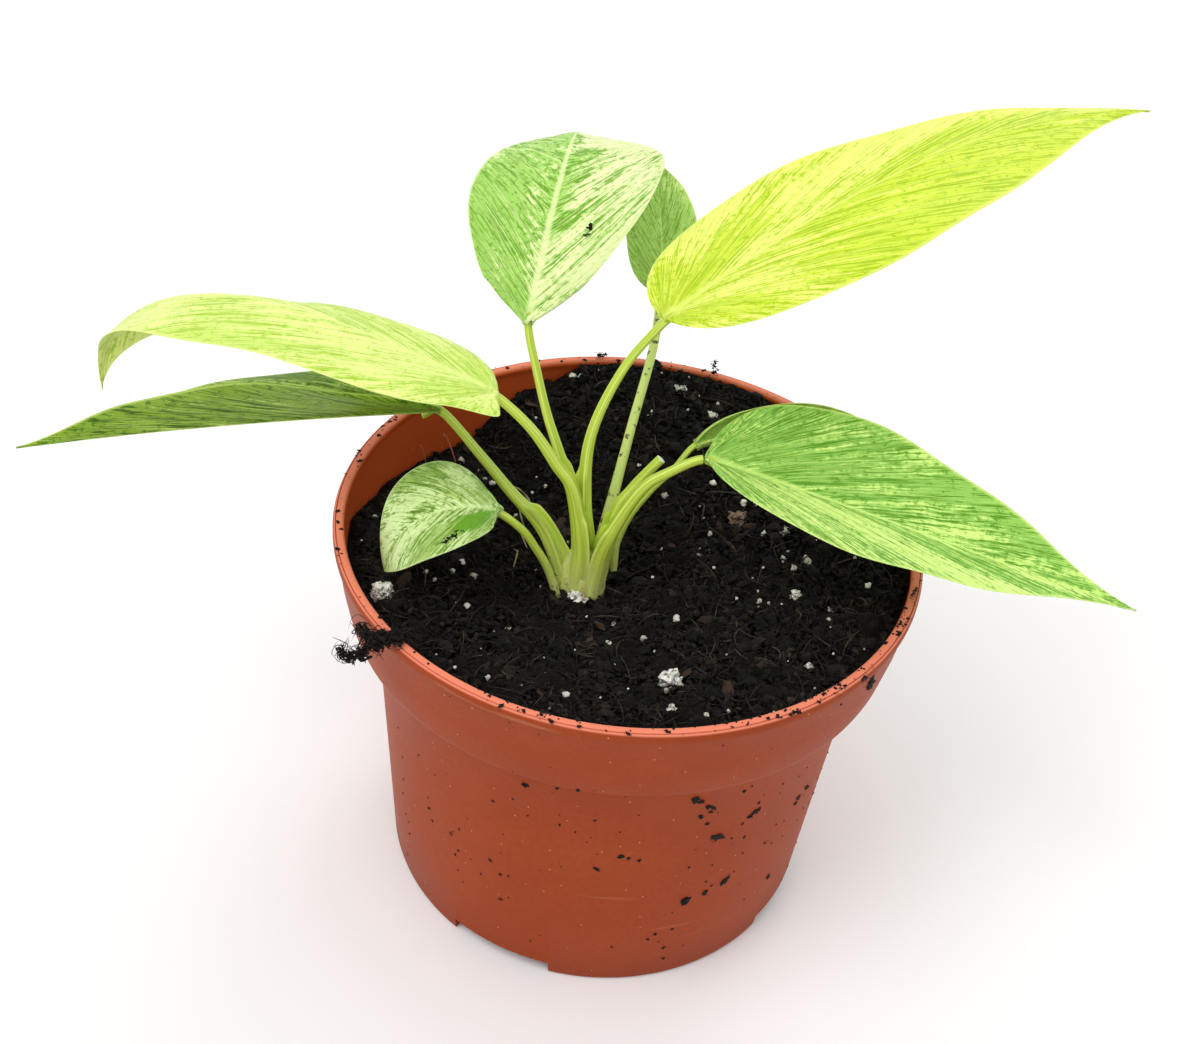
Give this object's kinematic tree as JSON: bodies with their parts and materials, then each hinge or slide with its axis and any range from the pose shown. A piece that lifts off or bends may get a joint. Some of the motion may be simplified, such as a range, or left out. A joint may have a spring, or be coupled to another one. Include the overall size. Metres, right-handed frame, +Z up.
{
  "type": "potted philodendron",
  "caption": "Young variegated philodendron with lime and green streaked leaves, growing in potting mix in a round terracotta plastic nursery pot.",
  "frame": {"origin": "centre of the pot's underside, on the surface it stands on", "axes": "+Z up along the pot's axis; -Y towards the plant's front; +X to the plant's right as seen from the front"},
  "size_m": [0.2234, 0.1289, 0.1621],
  "materials": {
    "terracotta_plastic": "satin",
    "potting_mix": "matte",
    "crown_green": "satin",
    "root_cream": "matte",
    "petiole_green": "satin",
    "leaf_lime": "satin",
    "leaf_pale": "satin",
    "leaf_green": "satin",
    "perlite_white": "matte",
    "perlite_stained": "matte",
    "soil_crumb": "matte",
    "dry_fibre": "matte"
  },
  "bodies": {
    "root": {"cut_petiole_stub": "petiole_green", "dry_fibre_1": "dry_fibre", "dry_fibre_2": "dry_fibre", "leaf_back": "leaf_green", "leaf_curled": "leaf_green", "leaf_low_right": "leaf_green", "leaf_lower_left": "leaf_green", "leaf_small_left": "leaf_pale", "leaf_tall_right": "leaf_lime", "leaf_upper_left": "leaf_pale", "leaf_upright": "leaf_pale", "nursery_pot": "terracotta_plastic", "perlite_back_a": "perlite_white", "perlite_back_b": "perlite_white", "perlite_back_c": "perlite_white", "perlite_brown": "perlite_stained", "perlite_crown": "perlite_white", "perlite_edge": "perlite_white", "perlite_front": "perlite_white", "perlite_front_left": "perlite_white", "perlite_front_small": "perlite_white", "perlite_left": "perlite_white", "perlite_middle": "perlite_white", "perlite_right_a": "perlite_white", "perlite_right_b": "perlite_white", "perlite_right_c": "perlite_white", "perlite_right_d": "perlite_white", "perlite_right_e": "perlite_white", "perlite_right_f": "perlite_white", "petiole_back": "petiole_green", "petiole_curled": "petiole_green", "petiole_low_right": "petiole_green", "petiole_lower_left": "petiole_green", "petiole_small_left": "petiole_green", "petiole_tall_right": "petiole_green", "petiole_upper_left": "petiole_green", "petiole_upright": "petiole_green", "potting_soil": "potting_mix", "root_1": "root_cream", "root_2": "root_cream", "root_3": "root_cream", "root_4": "root_cream", "root_5": "root_cream", "soil_crumb_back_left": "soil_crumb", "soil_crumb_back_right": "soil_crumb", "soil_crumb_front_left": "soil_crumb", "soil_crumb_right": "soil_crumb", "stem_crown": "crown_green"}
  },
  "joints": []
}
